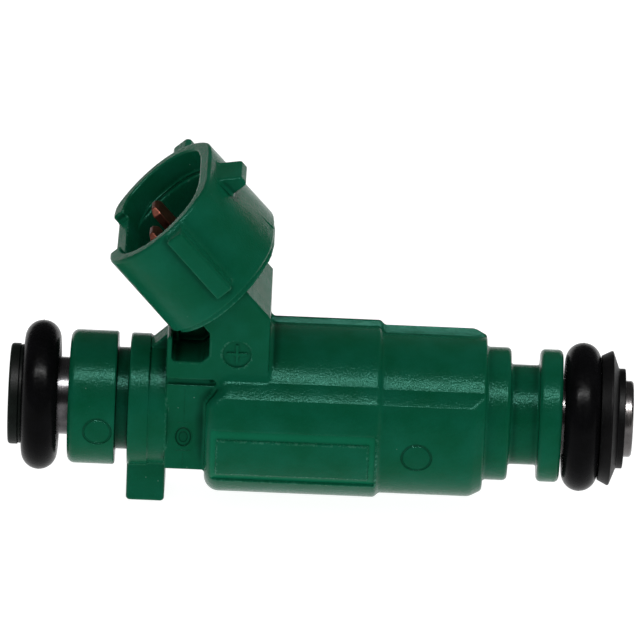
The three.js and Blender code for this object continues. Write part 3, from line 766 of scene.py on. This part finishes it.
GREEN = green_nylon()
RUBBER = rubber()
CAP = dark_plastic("cap_plastic_black", rgb(5, 5, 6), rgb(11, 11, 12))
FILTER = dark_plastic("filter_plastic_dark", rgb(7, 14, 10), rgb(16, 24, 20))
BOBBIN = dark_plastic("bobbin_plastic", rgb(30, 27, 24), rgb(46, 41, 36))
STAINLESS = metal("stainless_turned", rgb(80, 78, 78), rgb(104, 101, 101), tint=rgb(92, 86, 81))
TUBE = metal("stainless_drawn", rgb(60, 60, 61), rgb(96, 94, 96), (0.16, 0.3))
IRON = metal("magnetic_steel", rgb(120, 122, 124), rgb(158, 158, 158), (0.3, 0.45))
ZINC = metal("plated_steel", rgb(150, 154, 158), rgb(182, 184, 188), (0.3, 0.5))
SPRING = metal("spring_steel", rgb(150, 150, 152), rgb(180, 180, 182), (0.2, 0.3))
COPPER = metal(
    "terminal_copper_alloy", rgb(88, 46, 36), rgb(136, 84, 70),
    gloss=(0.28, 0.42), lines=(2, 14, 2), tint=rgb(62, 32, 24),
)
CLOTH = woven_mesh()
WIRE = windings()

# ---------------------------------------------------------------- pieces on the injector's body

BODY = "injector_body"


def overmould_mesh():
    """The moulded body, with the thin wall beside the pocket unscuffed and the sunk frame marked."""
    mesh = sculpt("overmould_skin", overmould, (5.4, -11.7, -10.4), (54.6, 12.6, 27.4), CELL)
    places = np.empty(len(mesh.vertices) * 3, np.float32)
    mesh.vertices.foreach_get("co", places)
    t, y, z = (places.reshape(-1, 3) / MM - [INLET, 0, 0]).T
    worn = np.empty(len(t), np.float32)
    mesh.attributes["edge"].data.foreach_get("value", worn)
    worn[(np.abs(t - 15.7) < 0.8) & (z > 4.2)] *= 0.2
    mesh.attributes["edge"].data.foreach_set("value", worn)
    radius, deg = np.hypot(y, z), np.degrees(np.arctan2(z, np.abs(y)))
    start, end, low, high = PANEL
    sunk = (np.abs(radius - FRAME_R - 0.02) < 0.07) & (span(t, start, end) < 0.1) & (deg > low) & (deg < high)
    mesh.attributes.new("frame", "FLOAT", "POINT").data.foreach_set("value", sunk.astype(np.float32))
    return mesh


link("overmould_skin", overmould_mesh(), BODY, "overmould_housing", slot="green_nylon", material=GREEN)

TUBE_R, TUBE_BORE_R, FLANGE_R = 3.8, 2.9, 4.4
FLANGE_START, FLANGE_END = 0.7, 1.25
PIPE_END, COUNTERBORE_START, COUNTERBORE_R = 20.0, 17.0, 3.25
FILTER_R, FILTER_BORE_R, SLEEVE_R, SLEEVE_END = 4.95, 2.0, 2.85, 3.0
CAGE_START, CAGE_END, CAGE_R, RIB_IN, RIB_OUT, RIB_HALF = 2.8, 13.4, 2.55, 2.32, 2.6, 0.35
DISC_START = 12.6

# the rim snaps over the pipe's flange, and a shallow groove runs round its outside
rim = turned("inlet_filter_cap", [
    (0, FILTER_BORE_R, 0.3), (SLEEVE_END, FILTER_BORE_R, 0.05), (SLEEVE_END, SLEEVE_R, 0.1),
    (0.65, SLEEVE_R, 0.05), (0.65, 4.45, 0.05), (1.3, 4.45, 0.05), (1.3, 4.85, 0.08),
    (1.04, 4.85, 0.04), (1.0, 4.76, 0.04), (0.94, FILTER_R, 0.05), (0.0, FILTER_R, 0.3),
])
link("inlet_filter_cap", rim, BODY, "inlet_filter_frame", slot="filter_plastic", material=FILTER)


def cage(t, y, z):
    """The filter's end disc and the three ribs that carry its mesh."""
    body = wheel(t, np.hypot(y, z), DISC_START, CAGE_END, CAGE_R, 0.1, 0.1)
    for k in range(3):
        c, s = math.cos(2 * math.pi * k / 3), math.sin(2 * math.pi * k / 3)
        low, high = (CAGE_START, -RIB_HALF, RIB_IN), (DISC_START + 0.2, RIB_HALF, RIB_OUT)
        body = np.minimum(body, boxed(t, y * c + z * s, z * c - y * s, low, high, 0.05))
    return body


cage_mesh = sculpt("filter_cage", cage, (2.6, -2.8, -2.8), (13.6, 2.8, 2.8), FINE_CELL, 0.1)
link("filter_cage", cage_mesh, BODY, slot="filter_plastic", material=FILTER)

inlet_pipe = turned("inlet_pipe", [
    (FLANGE_START, TUBE_BORE_R, 0.05), (COUNTERBORE_START, TUBE_BORE_R, 0.05),
    (COUNTERBORE_START, COUNTERBORE_R, 0.05), (PIPE_END, COUNTERBORE_R, 0.05), (PIPE_END, TUBE_R, 0.05),
    (FLANGE_END + 0.15, TUBE_R, 0.15), (FLANGE_END, FLANGE_R, 0.05), (FLANGE_START, FLANGE_R, 0.05),
])
link("inlet_pipe", inlet_pipe, BODY, "inlet_tube", slot="stainless", material=TUBE)

SEAL_SECTION = 3.5
for name, node, middle, seat in (
    ("upper_seal", "inlet_o_ring", 3.1, 3.82),
    ("lower_seal", "lower_o_ring", 56.07, 3.77),
):
    link(name, o_ring(name, middle, seat, SEAL_SECTION), BODY, node, slot="black_rubber", material=RUBBER)

CAP_START, CAP_LIP, CAP_END = 57.86, 59.0, 60.25
CAP_BORE_R, CAP_NOSE_R = 3.8, 4.9
cap = turned("nozzle_cap", [
    (CAP_START, CAP_BORE_R, 0.05), (CAP_START, 6.1, 0.08), (CAP_LIP - 0.16, 6.6, 0.05), (CAP_LIP, 6.55, 0.05),
    (59.62, CAP_NOSE_R, 0.1), (CAP_END, CAP_NOSE_R, 0.1), (CAP_END, CAP_BORE_R, 0.05),
])
link("nozzle_cap", cap, BODY, "tip_cap", slot="cap_plastic", material=CAP)

VALVE_START, VALVE_END, VALVE_R = 39.05, 61.1, 3.75
ARMATURE_BORE_R, NEEDLE_BORE_R, SEAT_BORE_R = 3.2, 2.2, 3.15
tip = turned("valve_body_tube", [
    (VALVE_START, ARMATURE_BORE_R, 0.05), (43.0, ARMATURE_BORE_R, 0.1), (43.0, NEEDLE_BORE_R, 0.1),
    (56.9, NEEDLE_BORE_R, 0.1), (56.9, SEAT_BORE_R, 0.05), (60.75, SEAT_BORE_R, 0.05), (60.75, 2.55, 0.05),
    (VALVE_END, 2.8, 0.1), (VALVE_END, VALVE_R, 0.32), (VALVE_START, VALVE_R, 0.1),
])
link("valve_body_tube", tip, BODY, "valve_body", slot="turned_stainless", material=STAINLESS)

BLADE_HALF, BLADE_HALF_WIDTH, BLADE_TIP, BLADE_ROOT = 0.4, 1.4, -1.0, -12
TAIL, TAIL_HALF_WIDTH = 22.85, 0.6  # station of the upright tail
TOE = (23.6, 4.9, 5.7)  # its end, and its lower and upper side
BLADE_AT_RIM = at_rim(BLADE_UP, 0)
KNEE = BLADE_AT_RIM[1] - (TAIL - BLADE_AT_RIM[0]) / math.tan(TILT)


def terminal(mid):
    """A chamfered blade, and the narrow tail that turns down to the bobbin and ends in a toe."""
    shift = BLADE_HALF * (1 - math.sin(TILT)) / math.cos(TILT)
    drop = BLADE_HALF / math.cos(TILT)
    toe_end, toe_low, toe_high = TOE
    inlet_side, tip_side = TAIL - BLADE_HALF, TAIL + BLADE_HALF
    tail = [
        (inlet_side, toe_low), (toe_end, toe_low), (toe_end, toe_high), (tip_side, toe_high),
        (tip_side, KNEE + drop - shift), at_rim(BLADE_UP + BLADE_HALF, -11),
        at_rim(BLADE_UP - BLADE_HALF, -11), (inlet_side, KNEE - drop + shift),
    ]

    def field(t, y, z):
        up, out = rim_frame(t, z)
        low = (BLADE_UP - BLADE_HALF, -BLADE_HALF_WIDTH, BLADE_ROOT)
        high = (BLADE_UP + BLADE_HALF, BLADE_HALF_WIDTH, BLADE_TIP)
        blade = boxed(up, y - mid, out, low, high, 0.1)
        # the tip's chamfers: across, and then in thickness
        slope = (np.abs(y - mid) - 0.75 + (out - BLADE_TIP)) * 0.707
        thin = (np.abs(up - BLADE_UP) - 0.2 + (out - BLADE_TIP) * 0.45) * 0.91
        blade = meet(meet(blade, slope, 0.06), thin, 0.06)
        leg = plate(t, z, y - mid, tail, -TAIL_HALF_WIDTH, TAIL_HALF_WIDTH, 0.05, 0.06)
        return np.minimum(blade, leg)

    return field


for node, mid in (("terminal_positive", -BLADE_ACROSS), ("terminal_negative", BLADE_ACROSS)):
    low = (BLADE_AT_RIM[0] - 0.6, mid - 1.6, 4.6)
    high = (24.0, mid + 1.6, BLADE_AT_RIM[1] + 0.6)
    mesh = sculpt(node + "_blade", terminal(mid), low, high, FINE_CELL)
    link(node + "_blade", mesh, BODY, node, slot="terminal_copper", material=COPPER)

# ---------------------------------------------------------------- mould marks


def threads(name, paths, sides=8, guide=None):
    """Round ridges or wires along paths of points; a path whose ends meet is closed."""
    all_points, all_faces, all_normals = [], [], []
    start = 0
    for path, radius in paths:
        path = np.array(path, float)
        closed = np.linalg.norm(path[0] - path[-1]) < 1e-6
        if closed:
            path = path[:-1]
        count = len(path)
        ahead, behind = np.roll(path, -1, 0), np.roll(path, 1, 0)
        if not closed:
            ahead[-1], behind[0] = path[-1], path[0]
        along = ahead - behind
        along /= np.linalg.norm(along, axis=1, keepdims=True)
        helper = guide or np.where(np.abs(along[:, 1:2]) < 0.8, [[0, 1.0, 0]], [[0, 0, 1.0]])
        u = np.cross(along, helper)
        u /= np.linalg.norm(u, axis=1, keepdims=True)
        v = np.cross(along, u)
        angle = np.arange(sides) * 2 * math.pi / sides
        out = u[:, None] * np.cos(angle)[None, :, None] + v[:, None] * np.sin(angle)[None, :, None]
        all_points.append((path[:, None] + out * radius).reshape(-1, 3))
        all_normals.append(out.reshape(-1, 3))
        i, j = np.meshgrid(np.arange(count if closed else count - 1), np.arange(sides), indexing="ij")
        i, j = i.ravel(), j.ravel()
        i1, j1 = (i + 1) % count, (j + 1) % sides
        faces = np.stack([i * sides + j, i * sides + j1, i1 * sides + j1, i1 * sides + j], 1)
        all_faces.append(faces + start)
        if not closed:
            rim = np.arange(sides)
            for ring in (rim[::-1], rim + (count - 1) * sides):
                pairs = [[ring[0], ring[k], ring[k + 1], ring[k + 2]] for k in range(1, sides - 2, 2)]
                all_faces.append(np.array(pairs) + start)
        start += count * sides
    faces = np.concatenate(all_faces)
    points, normals = np.concatenate(all_points), np.concatenate(all_normals)
    return mesh_of(name, points, faces, normals[faces].reshape(-1, 3))


def loop_on_wheel(station, height, radius_t, radius_z, wheel_radius, steps=64):
    """A closed loop laid on the near side of a turned surface."""
    path = []
    for k in range(steps + 1):
        angle = 2 * math.pi * (k % steps) / steps
        z = height + radius_z * math.sin(angle)
        path.append((station + radius_t * math.cos(angle), -math.sqrt(wheel_radius**2 - z * z), z))
    return path


def loop_on_flat(station, height, radius_t, radius_z, y, steps=48):
    """A closed loop laid on a flat side."""
    angles = [2 * math.pi * (k % steps) / steps for k in range(steps + 1)]
    return [(station + radius_t * math.cos(a), y, height + radius_z * math.sin(a)) for a in angles]


def straight(a, b, steps=12):
    """Points on the line from a to b."""
    return [tuple(a[i] + (b[i] - a[i]) * k / steps for i in range(3)) for k in range(steps + 1)]


def upright(top, foot):
    """A ridge up the middle of the near side's box, from one height to another."""
    station = RING_MARK[0]
    return straight((station, SIDE, top), (station, SIDE, foot))


def seam(height, start, end):
    """A ridge along the box under the connector."""
    return straight((start, SIDE, height), (end, SIDE, height))


head_top, head_foot = at_rim(HEIGHT, -3.3), at_rim(HEIGHT + HEAD_DRAFT, -LENGTH + 0.2)
marks = threads("mould_marks", [
    (loop_on_wheel(*COLLAR_MARK, 1.42, 1.42, COLLAR[2]), 0.05),
    (loop_on_wheel(*BARREL_MARK, 1.5, 1.5, LOWER_R), 0.05),
    (loop_on_flat(*RING_MARK, 0.84, 1.08, SIDE), 0.05),
    (seam(0.35, 16.6, 17.9), 0.045),
    (seam(-2.65, 16.5, 18.0), 0.05),
    (upright(-2.9, -4.5), 0.04),
    (upright(0.5, 4.0), 0.035),
    (straight((head_top[0], 0, head_top[1]), (head_foot[0], 0, head_foot[1])), 0.05),
])
link("mould_marks", marks, BODY, slot="green_nylon", material=GREEN)


def plus_field(t, y, z):
    """The raised polarity mark."""
    dt, dz = t - MARK_PLACE[0], z - MARK_PLACE[1]
    front, back = SIDE - 0.18, SIDE + 0.2
    across = boxed(dt, y, dz, (-1.0, front, -0.14), (1.0, back, 0.14), 0.05)
    upright_bar = boxed(dt, y, dz, (-0.14, front, -1.0), (0.14, back, 1.0), 0.05)
    return np.minimum(across, upright_bar)


plus = sculpt("polarity_mark", plus_field, (21.0, -6.1, 6.8), (23.4, -5.5, 9.2), 0.06, 0.1)
link("polarity_mark", plus, BODY, slot="green_nylon", material=GREEN)

# ---------------------------------------------------------------- return spring

COIL_R, WIRE_SIZE, TURNS, PER_TURN = 1.28, 0.34, 8, 40


def helix(start, end):
    """The spring's wire between its two faces, its first and last turn nearly flat."""
    flat_pitch = WIRE_SIZE + 0.06
    rise = end - start - WIRE_SIZE - 2 * flat_pitch
    path = []
    for k in range(TURNS * PER_TURN + 1):
        turns = k / PER_TURN
        share = min(max(turns - 1, 0), TURNS - 2) / (TURNS - 2)
        ends = min(turns, 1) + max(turns - TURNS + 1, 0)
        station = start + WIRE_SIZE / 2 + ends * flat_pitch + share * rise
        angle = 2 * math.pi * turns
        path.append((station, COIL_R * math.cos(angle), COIL_R * math.sin(angle)))
    return path


spring_low, spring_high = [corner.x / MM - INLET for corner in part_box("return_spring")]
wire = threads("return_coil", [(helix(spring_low, spring_high), WIRE_SIZE / 2)], 14, [[1.0, 0, 0]])
coil = link("return_coil", wire, BODY, "return_spring", slot="spring_steel", material=SPRING)
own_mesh(coil)

# ---------------------------------------------------------------- finishes of the CAD pieces

finishes = (
    (CLOTH, ("inlet_filter_mesh",)),
    (BOBBIN, ("coil_bobbin",)),
    (WIRE, ("coil_winding",)),
    (ZINC, ("solenoid_housing",)),
    (IRON, ("pole_core", "flux_washer", "armature")),
    (STAINLESS, ("calibration_sleeve", "nonmagnetic_sleeve", "needle_tube", "valve_ball")),
    (STAINLESS, ("ball_guide", "valve_seat", "orifice_plate", "seat_retainer")),
)
for material, nodes in finishes:
    for node in nodes:
        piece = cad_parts[node]
        piece.data.materials.clear()
        piece.data.materials.append(material)

# ---------------------------------------------------------------- floor, light and camera

low, high = cad_box
centre = Vector(((low[0] + high[0]) / 2, 0, 0))

floor_mesh = bpy.data.meshes.new("floor")
REACH = 2.5
level_of_floor = low[2] - 0.05 * MM
corners = [(x * REACH, y * REACH, level_of_floor) for x, y in ((-1, -1), (1, -1), (1, 1), (-1, 1))]
floor_mesh.from_pydata(corners, [], [(0, 1, 2, 3)])
floor = bpy.data.objects.new("floor", floor_mesh)
bpy.context.scene.collection.objects.link(floor)
paper = Surface("white_paper")
shade = paper.mix(paper.noise(0.02, 2.0), (0.3, 0.3, 0.3, 1), (0.34, 0.34, 0.34, 1))
paper.set(Base_Color=shade, Roughness=0.9, Specular_IOR_Level=0.0)
paper.set(Emission_Color=(1, 1, 1, 1), Emission_Strength=0.95)
floor_mesh.materials.append(paper.material)


def lamp(name, elevation, distance, size, power, side=0.0):
    """An area light; elevation is counted from the camera's side over the top to the back."""
    data = bpy.data.lights.new(name, "AREA")
    data.shape = "RECTANGLE"
    data.size, data.size_y = size
    data.energy = power
    lit = bpy.data.objects.new(name, data)
    bpy.context.scene.collection.objects.link(lit)
    angle = math.radians(elevation)
    away = Vector((side, -math.cos(angle), math.sin(angle))).normalized()
    lit.location = centre + away * distance
    lit.rotation_euler = away.to_track_quat("Z", "Y").to_euler()
    lit.visible_camera = False
    return lit


# a narrow strip makes the highlights, and four broad lamps the even light
lamp("key", 62.5, 0.7, (1.0, 0.032), 19.0).visible_diffuse = False
for name, elevation, size, power, side in (
    ("front", 45, (1.4, 0.7), 3.0, 0.0),
    ("left", 112, (1.4, 0.7), 2.6, -0.7),
    ("right", 105, (1.0, 0.7), 3.2, 1.1),
    ("back", 160, (1.4, 0.4), 1.6, 0.0),
):
    lamp(name, elevation, 0.9, size, power, side).visible_glossy = False

world = bpy.data.worlds.new("studio")
bpy.context.scene.world = world
world.use_nodes = True
sky = world.node_tree.nodes["Background"].inputs
sky["Color"].default_value = (1, 1, 1, 1)
sky["Strength"].default_value = 0.1

VIEW = math.radians(25)  # how far above the horizon the camera stands
ROLL = math.radians(2.4)
DISTANCE = 0.802
camera = bpy.data.cameras.new("camera")
camera.lens = 460
camera.sensor_width = 36
camera.clip_start = 0.01
shot = bpy.data.objects.new("camera", camera)
bpy.context.scene.collection.objects.link(shot)
aim = Vector((-0.0302, 0.00356, 0.00763))  # in metres
back = Vector((0, -math.cos(VIEW), math.sin(VIEW)))
level = Vector((0, math.sin(VIEW), math.cos(VIEW)))
right = Vector((math.cos(ROLL), 0, 0)) + level * math.sin(ROLL)
upward = Vector((-math.sin(ROLL), 0, 0)) + level * math.cos(ROLL)
turn = Matrix((right, upward, back)).transposed()
shot.matrix_world = Matrix.Translation(aim + back * DISTANCE) @ turn.to_4x4()
bpy.context.scene.camera = shot

bpy.context.scene.view_settings.view_transform = "Standard"
bpy.context.scene.view_settings.look = "None"
